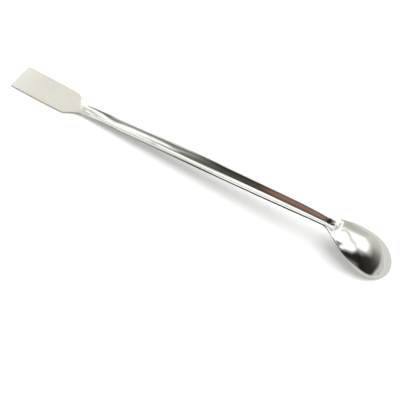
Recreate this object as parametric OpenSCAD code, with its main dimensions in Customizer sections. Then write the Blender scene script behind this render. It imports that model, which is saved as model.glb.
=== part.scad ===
// Double-ended laboratory spatula, pressed from one strip of stainless steel sheet.
// It lies with its channel open upwards and its spoon bowl face down, resting on
// the flat blade and on the tip of the bowl.
// +X runs from the blade's end to the spoon's tip, +Z is up, and the origin is
// under the middle of the part, on the bench.

/* [Sheet] */
// Length of the whole spatula
overall_len = 220; // [200:1:240]
// Thickness of the sheet
sheet_t = 1.1; // [0.8:0.1:1.4]

/* [Blade] */
// Width of the flat blade
blade_w = 15.8; // [13:0.1:18]
// Length of the blade's parallel sides
blade_len = 32.4; // [28:0.1:36]
// Length over which the shoulders narrow down to the handle
shoulder_len = 10; // [8:0.1:12]
// Radius of the blade's two end corners
corner_r = 0.9; // [0.8:0.1:1.5]

/* [Handle] */
// Width of the handle where it leaves the blade
handle_w_blade = 7.2; // [6.5:0.1:7.3]
// Greatest width of the handle
handle_w_mid = 8.2; // [7.6:0.1:9]
// Width of the handle at the spoon's neck
handle_w_neck = 5.8; // [5.2:0.1:7]
// Slope of the channel's walls at its rims, in degrees
wall_angle = 52; // [42:1:53]
// Height of the handle's rims over the bench at the spoon's neck
neck_rise = 13.6; // [10:0.1:16]
// Height by which the handle's rims arch over a straight line at mid-length
handle_arch = 1.1; // [0:0.1:2]

/* [Spoon] */
// Length of the spoon from its neck to its tip
spoon_len = 36; // [32:0.5:40]
// Width of the spoon at its widest
spoon_w = 22.4; // [20:0.1:25]
// Depth of the bowl, along the middle of the sheet
spoon_depth = 6.4; // [5:0.1:7]
// Share of the spoon's length at which it is widest
widest_share = 0.68; // [0.62:0.01:0.72]

/* [Hidden] */

steel = "silver";
half_t = sheet_t / 2;
columns = 24;                            // strips across the sheet
edge_steps = 4;                          // strips round the sheet's edge
neck_s = overall_len - spoon_len;        // distances along the part are from the blade's end
widest_s = neck_s + widest_share * spoon_len;
shoulder_s = blade_len + shoulder_len;
mid_s = (shoulder_s + neck_s) / 2;

// Smooth curve through [position, value] knots: a cubic spline with a given slope at each
// end. It becomes a list of [position, value, slope], which at() reads.
function gap(k, i) = k[i + 1][0] - k[i][0];
function rise(k, i) = (k[i + 1][1] - k[i][1]) / gap(k, i);
function eliminate(k, rows) =
    let (i = len(rows))
    i == len(k) - 1 ? rows
    : let (
        near = 1 / gap(k, i - 1),
        far = 1 / gap(k, i),
        pivot = 2 * (near + far) - near * rows[i - 1][0],
        pull = 3 * (rise(k, i - 1) * near + rise(k, i) * far)
      )
      eliminate(k, concat(rows, [[far / pivot, (pull - near * rows[i - 1][1]) / pivot]]));
function substitute(rows, slopes) =
    let (row = rows[len(rows) - len(slopes)])
    len(slopes) == len(rows) + 1 ? slopes
    : substitute(rows, concat([row[1] - row[0] * slopes[0]], slopes));
function spline(k, from = 0, to = 0) =
    let (slopes = substitute(eliminate(k, [[0, from]]), [to]))
    [for (i = [0 : len(k) - 1]) [k[i][0], k[i][1], slopes[i]]];
function knot_before(c, s, i = 0) =
    i >= len(c) - 2 || s < c[i + 1][0] ? i : knot_before(c, s, i + 1);
function at(c, s) =
    let (
        i = knot_before(c, s),
        run = gap(c, i),
        t = min(1, max(0, (s - c[i][0]) / run))
    )
    c[i][1] * (1 + 2 * t) * (1 - t) ^ 2 + c[i + 1][1] * t ^ 2 * (3 - 2 * t)
    + run * (c[i][2] * t * (1 - t) ^ 2 - c[i + 1][2] * t ^ 2 * (1 - t));

// Half-width of the sheet's middle surface, which stops about half a thickness inside the
// outline, where the edge begins. The bowl's front is a half ellipse.
side_reach = 1.15 * half_t;              // how far the bowl's tilted edge stands out sideways
tip_reach = 1.045 * half_t;              // and at the tip
tip_s = overall_len - tip_reach;
front_len = tip_s - widest_s;
spoon_r = spoon_w / 2 - side_reach;
function front_half(s) = spoon_r * sqrt(1 - ((s - widest_s) / front_len) ^ 2);
blade_half = blade_w / 2 - half_t;
root_half = handle_w_blade / 2 - half_t;
mid_half = handle_w_mid / 2 - half_t;
neck_half = handle_w_neck / 2 - half_t;
root_s = shoulder_s + 3;
front_s = widest_s + 3;
shoulder_sides = spline([
    [blade_len, blade_half],
    [blade_len + 0.5 * shoulder_len, root_half + 1.4],
    [shoulder_s, root_half + 0.12],
    [root_s, root_half]
], from = -0.6);
handle_sides = spline([
    [root_s, root_half],
    [mid_s - 40, root_half + 0.22],
    [mid_s, mid_half],
    [neck_s - 22, neck_half + 0.7],
    [neck_s - 9, neck_half + 0.35],
    [neck_s, neck_half]
]);
function flare(length, width) =          // shares of the way from the neck to the widest
    [neck_s + length * (widest_s - neck_s), neck_half + width * (spoon_r - neck_half)];
bowl_sides = spline([
    flare(0, 0),
    flare(0.163, 0.18),
    flare(0.327, 0.45),
    flare(0.531, 0.74),
    flare(0.735, 0.916),
    flare(1, 1),
    [front_s, front_half(front_s)]
], to = (front_half(front_s + 0.01) - front_half(front_s - 0.01)) / 0.02);
mid_corner = corner_r - half_t;
function half_width(s) =
    s < corner_r ? blade_w / 2 - corner_r + sqrt(mid_corner ^ 2 - (corner_r - s) ^ 2)
    : s < blade_len ? blade_half
    : s < root_s ? at(shoulder_sides, s)
    : s < neck_s ? at(handle_sides, s)
    : s < front_s ? at(bowl_sides, s)
    : front_half(s);

// Height of the rims' middle surface over the bench
rim_fall = 0.49;                         // fall of the bowl's rim towards its tip, mm per mm
tip_z = half_t + 0.025;                  // the tilted tip stands on the corner of its edge
handle_rims = spline([
    [blade_len, half_t],
    [blade_len + 5, half_t + 0.4],
    [shoulder_s, half_t + 0.95],
    [shoulder_s + 8, half_t + 1.8],
    [mid_s, half_t + neck_rise / 2 + handle_arch],
    [neck_s - 20, neck_rise - 1.1],
    [neck_s, neck_rise]
]);
bowl_rims = spline([
    [neck_s, neck_rise],
    [neck_s + 6, neck_rise - 0.45],
    [neck_s + 12, neck_rise - 2.3],
    [neck_s + 18, neck_rise - 4.85],
    [widest_s, tip_z + rim_fall * front_len]
], to = -rim_fall);
function rim_z(s) =
    s < blade_len ? half_t
    : s < neck_s ? at(handle_rims, s)
    : s < widest_s ? at(bowl_rims, s)
    : tip_z + rim_fall * (tip_s - s);

// One side of a cross-section is three arcs, from the middle out: the channel's floor, its
// wall, and the roll, which turns over from the wall's slope and falls outwards. The handle
// is all channel, the bowl is all roll, and one runs out into the other at the neck.
floor_share = 0.38;                      // share of the channel's half-width that is floor
wall_end = neck_s + 4.5;                 // where the walls have run out
floor_end = neck_s + 7.5;                // where the floor has run out in the bowl
handle_walls = spline([
    [blade_len + 2, 0],
    [shoulder_s, 20],
    [shoulder_s + 8, wall_angle - 12],
    [shoulder_s + 22, wall_angle - 6.5],
    [mid_s - 25, wall_angle - 6],
    [mid_s, wall_angle - 1],
    [neck_s - 30, wall_angle],
    [neck_s, wall_angle]
]);
neck_foot = wall_angle - 7;              // slope at which the floor meets the walls there
wall_feet = spline([
    [blade_len + 2, 0],
    [shoulder_s, 16],
    [shoulder_s + 8, wall_angle - 19],
    [shoulder_s + 22, wall_angle - 14.5],
    [mid_s - 25, wall_angle - 14],
    [mid_s - 8, wall_angle - 8],
    [neck_s - 30, neck_foot],
    [neck_s, neck_foot]
]);
neck_walls = spline([[neck_s, wall_angle], [wall_end, 0.8 * wall_angle], [floor_end, 0]], to = -8);
least = 0.001;                           // stands for the slope or width of what has run out
function wall_slope(s) = s < neck_s ? at(handle_walls, s) : max(at(neck_walls, s), least);
function foot_slope(s) =
    s < neck_s ? max(at(wall_feet, s), 0.8 * least)
    : wall_slope(s) * neck_foot / wall_angle;
neck_floor = floor_share * neck_half;
floors = spline([[neck_s, neck_floor], [wall_end, neck_floor + 0.1], [floor_end, 0]], to = -0.5);
function floor_half(s) = s < neck_s ? floor_share * half_width(s) : max(0, at(floors, s));
wall_runs = spline([[neck_s, neck_half - neck_floor], [wall_end, 0]], to = -0.3);
function wall_width(s) = s < neck_s ? half_width(s) - floor_half(s) : max(at(wall_runs, s), least);
cap_r = (spoon_r ^ 2 + spoon_depth ^ 2) / (2 * spoon_depth);
handle_roll = 1.8;                       // radius of the roll as it begins at the neck
tip_fullness = 0.4;                      // how fast the roll tightens towards the tip
bowl_rolls = spline([
    [neck_s, handle_roll],
    [neck_s + 3, 2.8],
    [wall_end, 5.8],
    [floor_end, 12],
    [neck_s + 10, 13.1],
    [neck_s + 14, 12.7],
    [neck_s + 18, 12.2],
    [widest_s, cap_r]
]);
function roll_radius(s) =
    s < neck_s ? handle_roll
    : s < widest_s ? at(bowl_rolls, s)
    : cap_r * (front_half(s) / spoon_r) ^ tip_fullness;

rad = PI / 180;
function section_point(s, u) =
    let (
        wall = wall_slope(s),
        floor_w = floor_half(s),
        wall_w = wall_width(s),
        channel = floor_w + wall_w,
        bend = foot_slope(s),
        floor_r = floor_w / sin(bend),
        wall_r = wall_w / (sin(wall) - sin(bend)),
        roll_r = roll_radius(s),
        flank = asin((half_width(s) - channel) / roll_r - sin(wall)),
        to_wall = floor_r * bend * rad,
        to_roll = to_wall + wall_r * (wall - bend) * rad,
        to_rim = to_roll + roll_r * (wall + flank) * rad,
        wall_z = floor_r * (1 - cos(bend)),
        roll_z = wall_z + wall_r * (cos(bend) - cos(wall)),
        rim = roll_z + roll_r * (cos(flank) - cos(wall)),
        way = abs(u) * to_rim,
        turn = way < to_wall ? way / floor_r / rad
            : way < to_roll ? bend + (way - to_wall) / wall_r / rad
            : wall - (way - to_roll) / roll_r / rad,
        y = way < to_wall ? floor_r * sin(turn)
            : way < to_roll ? floor_w + wall_r * (sin(turn) - sin(bend))
            : channel + roll_r * (sin(wall) - sin(turn)),
        z = way < to_wall ? floor_r * (1 - cos(turn))
            : way < to_roll ? wall_z + wall_r * (cos(bend) - cos(turn))
            : roll_z + roll_r * (cos(turn) - cos(wall))
    )
    [sign(u) * y, z - rim];
function sheet_point(s, u) =
    let (p = s <= blade_len + 2 ? [u * half_width(s), 0] : section_point(s, u))
    [s - overall_len / 2, p[0], rim_z(s) + p[1]];

// Unit normal of the middle surface, from its two directions
step = 0.01;
function unit(v) = v / norm(v);
function sheet_normal(s, u) =
    s < blade_len ? [0, 0, 1]
    : let (
        along = sheet_point(min(s + step, tip_s - step), u) - sheet_point(s - step, u),
        across = sheet_point(s, u + step) - sheet_point(s, u - step)
      )
      unit(cross(along, across));

// Places of the cross-sections, closer together where the sheet bends
function even(from, to, n) = [for (i = [0 : n - 1]) from + (to - from) * i / n];
rows = concat(
    [for (a = [0 : 30 : 90]) half_t + mid_corner * (1 - cos(a))],
    even(blade_len, shoulder_s + 4, 14),
    even(shoulder_s + 4, neck_s - 4, 32),
    even(neck_s - 4, widest_s, 28),
    [for (a = [0 : 5.375 : 86]) widest_s + front_len * sin(a)]
);

// The sheet is its middle surface moved half a thickness up and half down, with an edge
// swept along its whole outline: cut flat, with its two corners rounded.
function blunt(x) = sign(x) * sqrt(abs(x));
module sheet(rows) {
    w = columns + 1;
    last = len(rows) - 1;
    middle = [for (s = rows, j = [0 : columns]) sheet_point(s, 2 * j / columns - 1)];
    normals = [for (s = rows, j = [0 : columns]) sheet_normal(s, 2 * j / columns - 1)];
    count = len(middle);
    outline = concat(                    // anticlockwise from above, from the blade's end
        [for (j = [columns : -1 : 1]) j],
        [for (i = [0 : last - 1]) i * w],
        [for (j = [0 : columns - 1]) last * w + j],
        [for (i = [last : -1 : 1]) i * w + columns]
    );
    around = len(outline);
    function rim(k) = outline[(k + around) % around];
    function outward(k) = unit(cross(middle[rim(k + 1)] - middle[rim(k - 1)], normals[rim(k)]));
    edge = [for (k = [0 : around - 1], m = [1 : edge_steps - 1])
        let (a = 90 - 180 * m / edge_steps)
        middle[rim(k)] + half_t * (blunt(sin(a)) * normals[rim(k)] + blunt(cos(a)) * outward(k))];
    function edge_at(k, m) =
        m == 0 ? rim(k)
        : m == edge_steps ? count + rim(k)
        : 2 * count + (k % around) * (edge_steps - 1) + m - 1;
    upper_faces = [for (i = [0 : last - 1], j = [0 : columns - 1])
        let (a = i * w + j) each [[a, a + w + 1, a + w], [a, a + 1, a + w + 1]]];
    lower_faces = [for (f = upper_faces) [count + f[0], count + f[2], count + f[1]]];
    edge_faces = [for (k = [0 : around - 1], m = [0 : edge_steps - 1])
        each [[edge_at(k, m), edge_at(k + 1, m), edge_at(k + 1, m + 1)],
              [edge_at(k, m), edge_at(k + 1, m + 1), edge_at(k, m + 1)]]];
    polyhedron(
        concat(middle + half_t * normals, middle - half_t * normals, edge),
        concat(upper_faces, lower_faces, edge_faces)
    );
}

module spatula() {
    color(steel)
        sheet(rows);
}

spatula();
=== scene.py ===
import math

import bpy
from mathutils import Matrix, Vector


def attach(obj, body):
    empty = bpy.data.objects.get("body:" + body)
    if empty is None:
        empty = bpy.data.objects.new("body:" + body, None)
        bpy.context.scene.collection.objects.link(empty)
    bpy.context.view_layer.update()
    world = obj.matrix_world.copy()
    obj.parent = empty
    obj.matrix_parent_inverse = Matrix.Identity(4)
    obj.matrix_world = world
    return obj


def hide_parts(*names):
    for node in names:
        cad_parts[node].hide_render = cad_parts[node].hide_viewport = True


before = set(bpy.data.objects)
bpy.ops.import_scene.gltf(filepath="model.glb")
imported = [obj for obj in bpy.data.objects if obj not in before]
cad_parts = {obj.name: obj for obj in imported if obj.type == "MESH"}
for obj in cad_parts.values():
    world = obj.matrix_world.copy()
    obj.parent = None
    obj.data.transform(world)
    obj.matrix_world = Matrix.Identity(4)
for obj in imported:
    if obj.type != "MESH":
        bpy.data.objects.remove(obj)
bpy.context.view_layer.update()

# Spatula: one strip of stainless steel sheet, blanked and pressed to shape, so no seam or
# join shows. The blade has a satin face, and the channel and the bowl are polished bright.
bpy.ops.object.select_all(action="DESELECT")
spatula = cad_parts["spatula"].copy()
spatula.data = spatula.data.copy()
spatula.name = "pressed_spatula"
spatula.parent = None
bpy.context.scene.collection.objects.link(spatula)
spatula.select_set(True)
bpy.context.view_layer.objects.active = spatula
bpy.ops.geometry.attribute_add(name="cut edge", domain="FACE", data_type="FLOAT")
bpy.ops.object.mode_set(mode="EDIT")
bpy.ops.mesh.select_all(action="SELECT")
bpy.ops.mesh.remove_doubles(threshold=1e-6)
bpy.ops.mesh.tris_convert_to_quads(
    face_threshold=math.radians(60), shape_threshold=math.radians(180)
)
# the corners of the sheet's cut edge stay crisp, and the faces between them are marked
corner_angle = math.radians(50)
bpy.ops.mesh.select_all(action="DESELECT")
bpy.ops.mesh.select_mode(type="EDGE")
bpy.ops.mesh.edges_select_sharp(sharpness=corner_angle)
bpy.ops.transform.edge_crease(value=1)
bpy.ops.mesh.loop_to_region(select_bigger=False)
spatula.data.attributes.active = spatula.data.attributes["cut edge"]
bpy.ops.mesh.attribute_set(value_float=1.0)
bpy.ops.mesh.select_all(action="DESELECT")
bpy.ops.object.mode_set(mode="OBJECT")
# the facets of the curved faces are smoothed away
smooth = spatula.modifiers.new("smooth", "SUBSURF")
smooth.levels = smooth.render_levels = 2
bpy.ops.object.modifier_apply(modifier=smooth.name)
bpy.ops.object.shade_smooth()


def linear(code):
    """An sRGB colour, written in hex, as the linear values that a node takes."""
    parts = [int(code[i:i + 2], 16) / 255 for i in (0, 2, 4)]
    return [c / 12.92 if c <= 0.04045 else ((c + 0.055) / 1.055) ** 2.4 for c in parts] + [1]


def add(tree, kind, inputs=(), **settings):
    """A new node with its settings, and its inputs linked or set to constants."""
    node = tree.nodes.new(kind)
    for name, value in settings.items():
        setattr(node, name, value)
    for socket, source in dict(inputs).items():
        if isinstance(source, bpy.types.NodeSocket):
            tree.links.new(source, node.inputs[socket])
        else:
            node.inputs[socket].default_value = source
    return node


def edge_part(whole, *limits):
    """The part of the cut edge past each limit, which fades it in from start to full."""
    for value, start, full in limits:
        past = add(tree, "ShaderNodeMapRange", {
            "Value": value, "From Min": start, "From Max": full
        }).outputs["Result"]
        whole = add(tree, "ShaderNodeMath", {0: whole, 1: past}, operation="MULTIPLY").outputs[0]
    return whole


# Stainless steel: the polish is bright and mirrors the room, and the satin blade only glows. A
# dark reflection is painted on the cut edge's near side.
steel = bpy.data.materials.new("polished stainless steel")
steel.use_nodes = True
spatula.data.materials.clear()
spatula.data.materials.append(steel)
tree = steel.node_tree
metal = tree.nodes["Principled BSDF"]
metal.inputs["Metallic"].default_value = 1
position = add(tree, "ShaderNodeTexCoord").outputs["Object"]
lengthwise = add(tree, "ShaderNodeSeparateXYZ", {0: position}).outputs["X"]
# fine lines run lengthwise, as a belt or a wheel leaves them, coarser here so that they show
line_length, line_width = 0.005556, 0.0001923
lines = add(tree, "ShaderNodeMapping", {
    "Vector": position, "Scale": (1 / line_length, 1 / line_width, 1 / line_width)
}).outputs[0]
grain = add(tree, "ShaderNodeTexNoise", {
    "Vector": lines, "Scale": 1.0, "Detail": 3.0
}).outputs[0]
streaks = add(tree, "ShaderNodeMapRange", {
    "Value": grain, "From Min": 0.3, "From Max": 0.7
}).outputs["Result"]
# the polish starts at a line that runs slantwise over the blade's shoulder
satin_end, polish_start = -0.0712, -0.0698
slant = (1, 0.73, 0)
shoulder = add(tree, "ShaderNodeVectorMath", {
    0: position, 1: slant
}, operation="DOT_PRODUCT").outputs["Value"]
polished = add(tree, "ShaderNodeMapRange", {
    "Value": shoulder, "From Min": satin_end, "From Max": polish_start
}, interpolation_type="SMOOTHSTEP").outputs["Result"]
# the last 14 mm of the blade are toned paler
pale_end = add(tree, "ShaderNodeMapRange", {
    "Value": lengthwise, "From Min": -0.096, "From Max": -0.112
}).outputs["Result"]
# painted reflection: the cut edge is toned near black where it faces the near side, more and
# more from the blade to the bowl, and it stays bright on the far side; the dark stands in for
# the dark room mirrored in the edge, not for dark metal
cut_edge = add(tree, "ShaderNodeAttribute", attribute_name="cut edge").outputs["Fac"]
normal = add(tree, "ShaderNodeTexCoord").outputs["Normal"]
sideways = add(tree, "ShaderNodeSeparateXYZ", {0: normal}).outputs["Y"]
painted_dark_reflection_edge = edge_part(
    cut_edge, (sideways, -0.5, -0.6), (lengthwise, -0.08, 0.03), (lengthwise, 0.078, 0.073)
)
colour = linear("d4d1c8")
# the last of these tones is the painted dark reflection on the cut edge's near side
for where, tone in (
    (streaks, "dbd8d0"), (pale_end, "e3e1db"), (polished, "e7e7e4"), (painted_dark_reflection_edge, "1e1d1c")
):
    colour = add(tree, "ShaderNodeMix", {
        "Factor": where, "A": colour, "B": linear(tone)
    }, data_type="RGBA").outputs["Result"]
tree.links.new(colour, metal.inputs["Base Color"])
# the finish is a little hazy, in clouds of about 11 mm
cloud_size = 0.01111
clouds = add(tree, "ShaderNodeTexNoise", {
    "Vector": position, "Scale": 1 / cloud_size, "Detail": 2.0
}).outputs[0]
haze = add(tree, "ShaderNodeMapRange", {
    "Value": clouds, "From Min": 0.3, "From Max": 0.7, "To Min": -0.01, "To Max": 0.02
}).outputs["Result"]
# roughness as usual for satin and for polished steel, matched to this one
satin_rough, polished_rough = 0.45, 0.065
rough = add(tree, "ShaderNodeMapRange", {
    "Value": polished, "To Min": satin_rough, "To Max": polished_rough
}).outputs["Result"]
rough = add(tree, "ShaderNodeMath", {0: rough, 1: haze}, operation="ADD").outputs[0]
# the cut edge is left rough for a short stretch where the handle meets the bowl
stretch_rough = 0.85
rough_stretch = edge_part(cut_edge, (lengthwise, 0.074, 0.078), (lengthwise, 0.09, 0.084))
dull = add(tree, "ShaderNodeMath", {
    0: rough_stretch, 1: stretch_rough
}, operation="MULTIPLY").outputs[0]
rough = add(tree, "ShaderNodeMath", {0: rough, 1: dull}, operation="MAXIMUM").outputs[0]
tree.links.new(rough, metal.inputs["Roughness"])
satin_depth, polished_depth = 0.12, 0.02
depth = add(tree, "ShaderNodeMapRange", {
    "Value": polished, "To Min": satin_depth, "To Max": polished_depth
}).outputs["Result"]
scratches = add(tree, "ShaderNodeBump", {
    "Strength": depth, "Distance": 0.00001, "Height": grain
}).outputs["Normal"]
tree.links.new(scratches, metal.inputs["Normal"])
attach(spatula, "root")
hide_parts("spatula")

# Camera: looks down at about 53 degrees on the spatula's near side, from 31 degrees round
# from square to its length.
elevation = math.radians(53.2)
azimuth = math.radians(31.17)
tilt = math.radians(2.45)
distance = 0.67647
aim = Vector((0.00298, -0.0186, 0))
frame_width = 0.1970
back = Vector((0, -math.cos(elevation), math.sin(elevation)))
level = Vector((1, 0, 0))
rise = back.cross(level)
right = math.cos(tilt) * level + math.sin(tilt) * rise
up = math.cos(tilt) * rise - math.sin(tilt) * level
stand = aim + distance * back
lens = bpy.data.cameras.new("camera")
lens.sensor_width = 36
lens.lens = lens.sensor_width * distance / frame_width
lens.clip_start = 0.01
camera = bpy.data.objects.new("camera", lens)
bpy.context.scene.collection.objects.link(camera)
camera.matrix_world = Matrix.Rotation(azimuth, 4, "Z") @ Matrix(
    [(right[i], up[i], back[i], stand[i]) for i in range(3)] + [(0, 0, 0, 1)]
)
bpy.context.scene.camera = camera

# Bench top: white laminate with a dull surface. The camera sees it a little lighter, so that
# it is white round the spatula and only the shadow shows.
bpy.ops.mesh.primitive_plane_add(size=8)
bench = bpy.context.object
bench.name = "bench_top"
laminate = bpy.data.materials.new("white laminate")
laminate.use_nodes = True
bench.data.materials.append(laminate)
tree = laminate.node_tree
top = tree.nodes["Principled BSDF"]
top.inputs["Roughness"].default_value = 0.9
top.inputs["Specular IOR Level"].default_value = 0
top.inputs["Emission Color"].default_value = (1, 1, 1, 1)
seen = add(tree, "ShaderNodeLightPath").outputs
lightening = 0.2
lift = add(tree, "ShaderNodeMath", {
    0: seen["Is Camera Ray"], 1: lightening
}, operation="MULTIPLY").outputs[0]
tree.links.new(lift, top.inputs["Emission Strength"])
# painted shade: the steel mirrors the bench in a greyer tone (cdcdca) than the white it has for
# all other rays, standing in for the shade round the spatula
bench_white_and_mirrored_shade = add(tree, "ShaderNodeMix", {
    "Factor": seen["Is Glossy Ray"], "A": linear("eeeeed"), "B": linear("cdcdca")
}, data_type="RGBA").outputs["Result"]
tree.links.new(bench_white_and_mirrored_shade, top.inputs["Base Color"])

# Room light: even and white, with one broad soft lamp high on the right, which lays the
# shadow on the near left of the spatula.
world = bpy.data.worlds.new("studio")
bpy.context.scene.world = world
world.use_nodes = True
sky = world.node_tree.nodes["Background"]
sky.inputs["Color"].default_value = (1, 1, 1, 1)
sky.inputs["Strength"].default_value = 0.4
panel = bpy.data.lights.new("soft_lamp", "AREA")
panel.shape = "DISK"
panel.size = 1.4
panel.energy = 17
lamp = bpy.data.objects.new("soft_lamp", panel)
bpy.context.scene.collection.objects.link(lamp)
lamp_bearing = math.radians(60)
lamp_height = math.radians(67)
lamp_distance = 1.2
towards = Vector((math.sin(lamp_bearing), math.cos(lamp_bearing), math.tan(lamp_height)))
lamp.location = towards.normalized() * lamp_distance
lamp.rotation_euler = towards.to_track_quat("Z", "Y").to_euler()
lamp.visible_glossy = False

# Light tent: white cloth arched over the bench along the spatula, seen only mirrored in the
# steel. It is open on the camera's side to a dark room, and its far side is pale grey. The
# room is made up: its tones and edges are set for what the steel has to mirror from that
# side, and the things named in it are only labels for them.
tent_radius, tent_length = 0.4, 16
bpy.ops.mesh.primitive_cylinder_add(
    vertices=128, radius=tent_radius, depth=tent_length, end_fill_type="NOTHING",
    rotation=(0, math.radians(90), 0)
)
tent = bpy.context.object
tent.name = "light_tent"
bpy.ops.object.transform_apply(location=True, rotation=True, scale=True)
tent.visible_camera = False
tent.visible_diffuse = False
tent.visible_shadow = False
tent.visible_transmission = False
cloth = bpy.data.materials.new("lit tent cloth")
cloth.use_nodes = True
tent.data.materials.append(cloth)
tree = cloth.node_tree
tree.nodes.clear()


def degrees(opposite, beside):
    """The angle whose tangent is opposite over beside, all the way round."""
    turn = add(tree, "ShaderNodeMath", {0: opposite, 1: beside}, operation="ARCTAN2").outputs[0]
    return add(tree, "ShaderNodeMath", {0: turn}, operation="DEGREES").outputs[0]


def above(value, edge, blur, under=0.0, over=1.0):
    """0 below an edge and 1 above it, with a soft step between."""
    past = add(tree, "ShaderNodeMath", {0: value, 1: edge}, operation="SUBTRACT").outputs[0]
    return add(tree, "ShaderNodeMapRange", {
        "Value": past, "From Min": -blur, "From Max": blur, "To Min": under, "To Max": over
    }, interpolation_type="SMOOTHSTEP").outputs["Result"]


def below(value, edge, blur):
    return above(value, edge, blur, under=1.0, over=0.0)


def every(*masks):
    """1 where every mask is 1."""
    product = masks[0]
    for mask in masks[1:]:
        product = add(tree, "ShaderNodeMath", {
            0: product, 1: mask
        }, operation="MULTIPLY").outputs[0]
    return product


def between(value, low, high, blur):
    return every(above(value, low, blur), below(value, high, blur))


def strip(across, lean, over, offset, half_width, blur):
    """A straight strip of cloth where across * lean + over + offset is near 0."""
    leaning = add(tree, "ShaderNodeMath", {0: across, 1: lean}, operation="MULTIPLY").outputs[0]
    moved = add(tree, "ShaderNodeMath", {0: over, 1: offset}, operation="ADD").outputs[0]
    away = add(tree, "ShaderNodeMath", {0: leaning, 1: moved}, operation="ADD").outputs[0]
    away = add(tree, "ShaderNodeMath", {0: away}, operation="ABSOLUTE").outputs[0]
    return below(away, half_width, blur)


def bent(value, points):
    """A smooth line through (value, degrees) points."""
    low, high = points[0][0], points[-1][0]
    # the curve itself runs from 0 to 1
    most = 100
    share = add(tree, "ShaderNodeMapRange", {"Value": value, "From Min": low, "From Max": high})
    curve = add(tree, "ShaderNodeFloatCurve", {"Value": share.outputs["Result"]})
    dots = curve.mapping.curves[0].points
    for x, y in points[1:-1]:
        dots.new((x - low) / (high - low), y / most)
    dots[0].location = (0, points[0][1] / most)
    dots[len(dots) - 1].location = (1, points[-1][1] / most)
    curve.mapping.update()
    return add(tree, "ShaderNodeMath", {
        0: curve.outputs[0], 1: most
    }, operation="MULTIPLY").outputs[0]


def tones(value, stops):
    """Colours that change along a value, from (value, colour) stops."""
    low, high = stops[0][0], stops[-1][0]
    share = add(tree, "ShaderNodeMapRange", {"Value": value, "From Min": low, "From Max": high})
    bands = add(tree, "ShaderNodeValToRGB", {"Fac": share.outputs["Result"]})
    ends = bands.color_ramp.elements
    ends[0].color = linear(stops[0][1])
    ends[1].color = linear(stops[-1][1])
    for where, tone in stops[1:-1]:
        ends.new((where - low) / (high - low)).color = linear(tone)
    return bands.outputs["Color"]


def hang(cloths, tone, *masks):
    """Cloth of one tone, hung before the cloths so far where every mask is 1."""
    tone = linear(tone) if isinstance(tone, str) else tone
    return add(tree, "ShaderNodeMix", {
        "Factor": every(*masks), "A": cloths, "B": tone
    }, data_type="RGBA").outputs["Result"]


# places on the cloth: how far along, and the angle up from the near side round to the far
here = add(tree, "ShaderNodeTexCoord").outputs["Object"]
place = add(tree, "ShaderNodeSeparateXYZ", {0: here}).outputs
along = place["X"]
outward = add(tree, "ShaderNodeMath", {0: place["Y"], 1: -1.0}, operation="MULTIPLY").outputs[0]
angle = degrees(place["Z"], outward)
# and as seen from the bowl: the bearing from the camera's side to the right, and the height,
# so the cloth is laid out for one fixed side of the bench
bowl = (0.088, 0, 0.012)
to_right = (math.cos(azimuth), math.sin(azimuth), 0)
to_near = (math.sin(azimuth), -math.cos(azimuth), 0)
off = add(tree, "ShaderNodeVectorMath", {0: here, 1: bowl}, operation="SUBTRACT").outputs[0]
ray = add(tree, "ShaderNodeVectorMath", {0: off}, operation="NORMALIZE").outputs[0]
upward = add(tree, "ShaderNodeSeparateXYZ", {0: ray}).outputs["Z"]
rightward, nearward = (add(tree, "ShaderNodeVectorMath", {
    0: ray, 1: side
}, operation="DOT_PRODUCT").outputs["Value"] for side in (to_right, to_near))
over_right, over_near = (add(tree, "ShaderNodeMath", {
    0: part, 1: upward
}, operation="DIVIDE").outputs[0] for part in (rightward, nearward))
bearing = degrees(rightward, nearward)
height = add(tree, "ShaderNodeMath", {0: upward}, operation="ARCSINE").outputs[0]
height = add(tree, "ShaderNodeMath", {0: height}, operation="DEGREES").outputs[0]

# the open near side, and the grey wall into which it runs on the right and on the far side
dark_top = bent(bearing, [
    (-60, 20), (-40, 30), (-35, 37), (-30, 43), (-20, 49), (0, 47), (10, 43), (30, 40),
    (40, 38), (50, 34), (60, 27), (70, 22), (80, 22), (100, 27), (120, 32), (135, 33),
    (150, 29), (160, 32), (180, 38)
])
light_top = bent(bearing, [
    (-60, 46), (-40, 50), (-35, 58), (-30, 76), (-20, 86), (0, 85), (20, 82), (30, 80),
    (40, 74), (50, 66), (60, 61), (70, 57), (80, 55), (100, 52), (120, 51), (140, 50),
    (150, 44), (160, 50), (180, 55)
])
walls = tones(bearing, [
    (-60, "8c8a85"), (-50, "6a645e"), (-43, "2a2521"), (0, "221d1b"), (45, "2f2d2a"),
    (55, "383733"), (63, "43433e"), (70, "50504b"), (80, "6b6963"), (90, "86837b"),
    (100, "a5a49c"), (110, "b5b4ad"), (125, "bdbdb7"), (145, "c5c5bf"), (160, "aeaea8"),
    (180, "c3c3bd")
])
up_wall = add(tree, "ShaderNodeMapRange", {
    "Value": height, "From Min": dark_top, "From Max": light_top
}).outputs["Result"]
fade = add(tree, "ShaderNodeMath", {0: up_wall, 1: 2.0}, operation="POWER").outputs[0]
wall_shows = add(tree, "ShaderNodeMath", {0: 1.0, 1: fade}, operation="SUBTRACT").outputs[0]
past_left_end = above(bearing, -60, 4)
light = hang(linear("ffffff"), walls, wall_shows, past_left_end)
# a brown bench front in the dark room, low on the left
light = hang(light, "71695f", below(height, 19, 9), below(bearing, -15, 10), past_left_end)
# a seam of the roof, and a cord over the opening's left end
seam = strip(over_near, 0.35, over_right, 0.068, 0.015, 0.015)
light = hang(light, "b6b6ac", seam, above(over_near, -0.8, 0.3), below(over_near, 0.5, 0.1))
cord = strip(over_right, 1.14, over_near, -0.13, 0.014, 0.008)
light = hang(light, "8a8a84", cord, between(over_right, -0.68, -0.35, 0.03))

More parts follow.
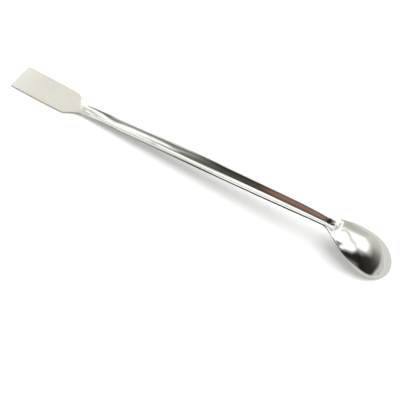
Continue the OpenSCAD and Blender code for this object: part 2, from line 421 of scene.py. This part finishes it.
# the part of the tent that the handle mirrors: white cloth, a little greyer low at the back
handle_end = add(tree, "ShaderNodeMapRange", {
    "Value": angle, "From Min": 105, "From Max": 140, "To Min": 0.0, "To Max": -0.08
}).outputs["Result"]
handle = below(along, handle_end, 0.006)
light = hang(light, "ffffff", handle)
light = hang(light, "eae9e3", above(angle, 138, 4), handle)
light = hang(light, "d2d1c9", above(angle, 138, 3), below(along, -0.2, 0.02))
# its roof turns grey, more and lower towards the handle's middle, past which it is white
roof = tones(angle, [
    (62, "ffffff"), (85, "eeeeea"), (100, "e2e1dc"), (108, "e6e6e2"), (116, "ffffff"),
    (132, "ffffff"), (142, "c8c7c0")
])
for start, full, stops in (
    (-0.285, -0.255, [
        (52, "ffffff"), (70, "d2d2cd"), (97, "bebeb8"), (108, "c6c6c0"), (117, "ffffff"),
        (132, "ffffff"), (142, "c8c7c0")
    ]),
    (-0.25, -0.222, [
        (45, "ffffff"), (52, "92928d"), (78, "86867f"), (90, "aeaea8"), (102, "d2d2cc"),
        (114, "ffffff"), (134, "ffffff"), (150, "e4e4df")
    ]),
    (-0.216, -0.195, [
        (46, "565652"), (60, "84847e"), (82, "d0d0ca"), (98, "f4f4f2"), (112, "ffffff")
    ]),
    (-0.185, -0.165, [(46, "ffffff"), (60, "ffffff")]),
):
    turned = add(tree, "ShaderNodeMapRange", {
        "Value": along, "From Min": start, "From Max": full
    }).outputs["Result"]
    roof = hang(roof, tones(angle, stops), turned)
light = hang(light, roof, handle, above(along, -0.298, 0.006), below(angle, 190, 8))
# a small unlit lamp, which shows in the end of the channel
bulb = every(between(angle, 115, 131, 1), between(along, -0.2425, -0.2355, 0.002))
light = hang(light, "48484a", bulb)
# the opening below the roof's edge, which is higher on the right
edge = bent(along, [
    (-0.36, 94), (-0.34, 90), (-0.32, 74), (-0.31, 65), (-0.303, 57), (-0.298, 48),
    (-0.292, 44), (-0.285, 43), (-0.25, 43.2), (-0.225, 40.5), (-0.215, 39.3),
    (-0.18, 39.5), (-0.165, 40), (-0.14, 42), (-0.1, 41.5), (0, 42)
])
raised_edge = bent(along, [
    (-0.24, 50), (-0.2, 52), (-0.185, 48), (-0.17, 40), (-0.14, 42), (-0.12, 50),
    (-0.11, 57), (-0.05, 57), (0, 50)
])
raised = every(below(angle, raised_edge, 2.5), above(along, -0.192, 0.02))
opening = add(tree, "ShaderNodeMath", {
    0: below(angle, edge, 2.5), 1: raised
}, operation="MAXIMUM").outputs[0]
# the room behind it, with a brown cupboard on the right and a grey wall on the left
room = tones(along, [
    (-0.35, "6a6a66"), (-0.28, "9a9a95"), (-0.24, "7c7d78"), (-0.2, "72736e"),
    (-0.165, "42423e"), (-0.13, "48423a"), (-0.12, "98705e"), (-0.105, "8c6e60"),
    (-0.085, "94766c"), (-0.03, "7c7264"), (-0.02, "23201d"), (0, "23201d")
])
left_wall = tones(angle, [
    (42, "5c5c56"), (55, "747470"), (65, "94948f"), (80, "a6a6a2"), (92, "c0c0ba")
])
room = hang(room, left_wall, below(along, -0.287, 0.006))
# the cupboard's dark frame, then the floor before it, then a bead across its door
door = every(above(angle, 24, 2), below(angle, 38, 3))
around_door = add(tree, "ShaderNodeMath", {0: 1.0, 1: door}, operation="SUBTRACT").outputs[0]
cupboard_end = below(along, -0.02, 0.01)
room = hang(room, "2a2624", around_door, cupboard_end, above(along, -0.19, 0.03))
floor_edge = bent(along, [
    (-0.36, 40), (-0.3, 36), (-0.28, 35), (-0.25, 33), (-0.22, 31), (-0.2, 24),
    (-0.18, 18), (-0.13, 18), (-0.11, 24), (-0.06, 25), (-0.03, 24), (0, 16)
])
floor_tones = tones(along, [
    (-0.22, "bebeb8"), (-0.19, "8a8a84"), (-0.135, "5c5a54"), (-0.12, "6e5a4c"),
    (-0.1, "72604f"), (-0.085, "82685e")
])
room = hang(room, floor_tones, below(angle, floor_edge, 1.5))
bead = every(above(angle, 29.5, 2), below(angle, 36, 3), above(along, -0.17, 0.02))
bead_strength = 0.6
room = hang(room, "46362f", bead, cupboard_end, bead_strength)
light = hang(light, room, opening, handle)
# a bright pole that leans away from the roof's edge
crest = bent(along, [
    (-0.208, 41), (-0.2, 35.5), (-0.193, 31.5), (-0.186, 28.5), (-0.178, 26.5)
])
pole_tones = tones(along, [
    (-0.208, "e6e6e2"), (-0.198, "b4b4ae"), (-0.188, "8e8e88"), (-0.178, "60605c")
])
off_crest = add(tree, "ShaderNodeMath", {0: angle, 1: crest}, operation="SUBTRACT").outputs[0]
off_crest = add(tree, "ShaderNodeMath", {0: off_crest}, operation="ABSOLUTE").outputs[0]
pole = every(below(off_crest, 2, 1), above(along, -0.21, 0.004), below(along, -0.17, 0.006))
light = hang(light, pole_tones, pole)
# a grey clip, which shows beside the neck
light = hang(light, "747470", between(angle, 49, 68, 2), between(along, 0.01, 0.039, 0.003))
# the bench's far and near edges
sill = bent(bearing, [
    (-180, 4), (-60, 10), (-40, 9), (-20, 5), (0, 3.5), (12, 2), (32, 1.5), (42, 4),
    (50, 6.5), (60, 7.5), (80, 7), (105, 4), (180, 4)
])
light = hang(light, "bcbcb8", below(height, sill, 3), above(along, -0.01, 0.01))
glow = add(tree, "ShaderNodeEmission", {"Color": light, "Strength": 1.32}).outputs[0]
add(tree, "ShaderNodeOutputMaterial", {"Surface": glow})
bpy.context.scene.view_settings.view_transform = "Standard"
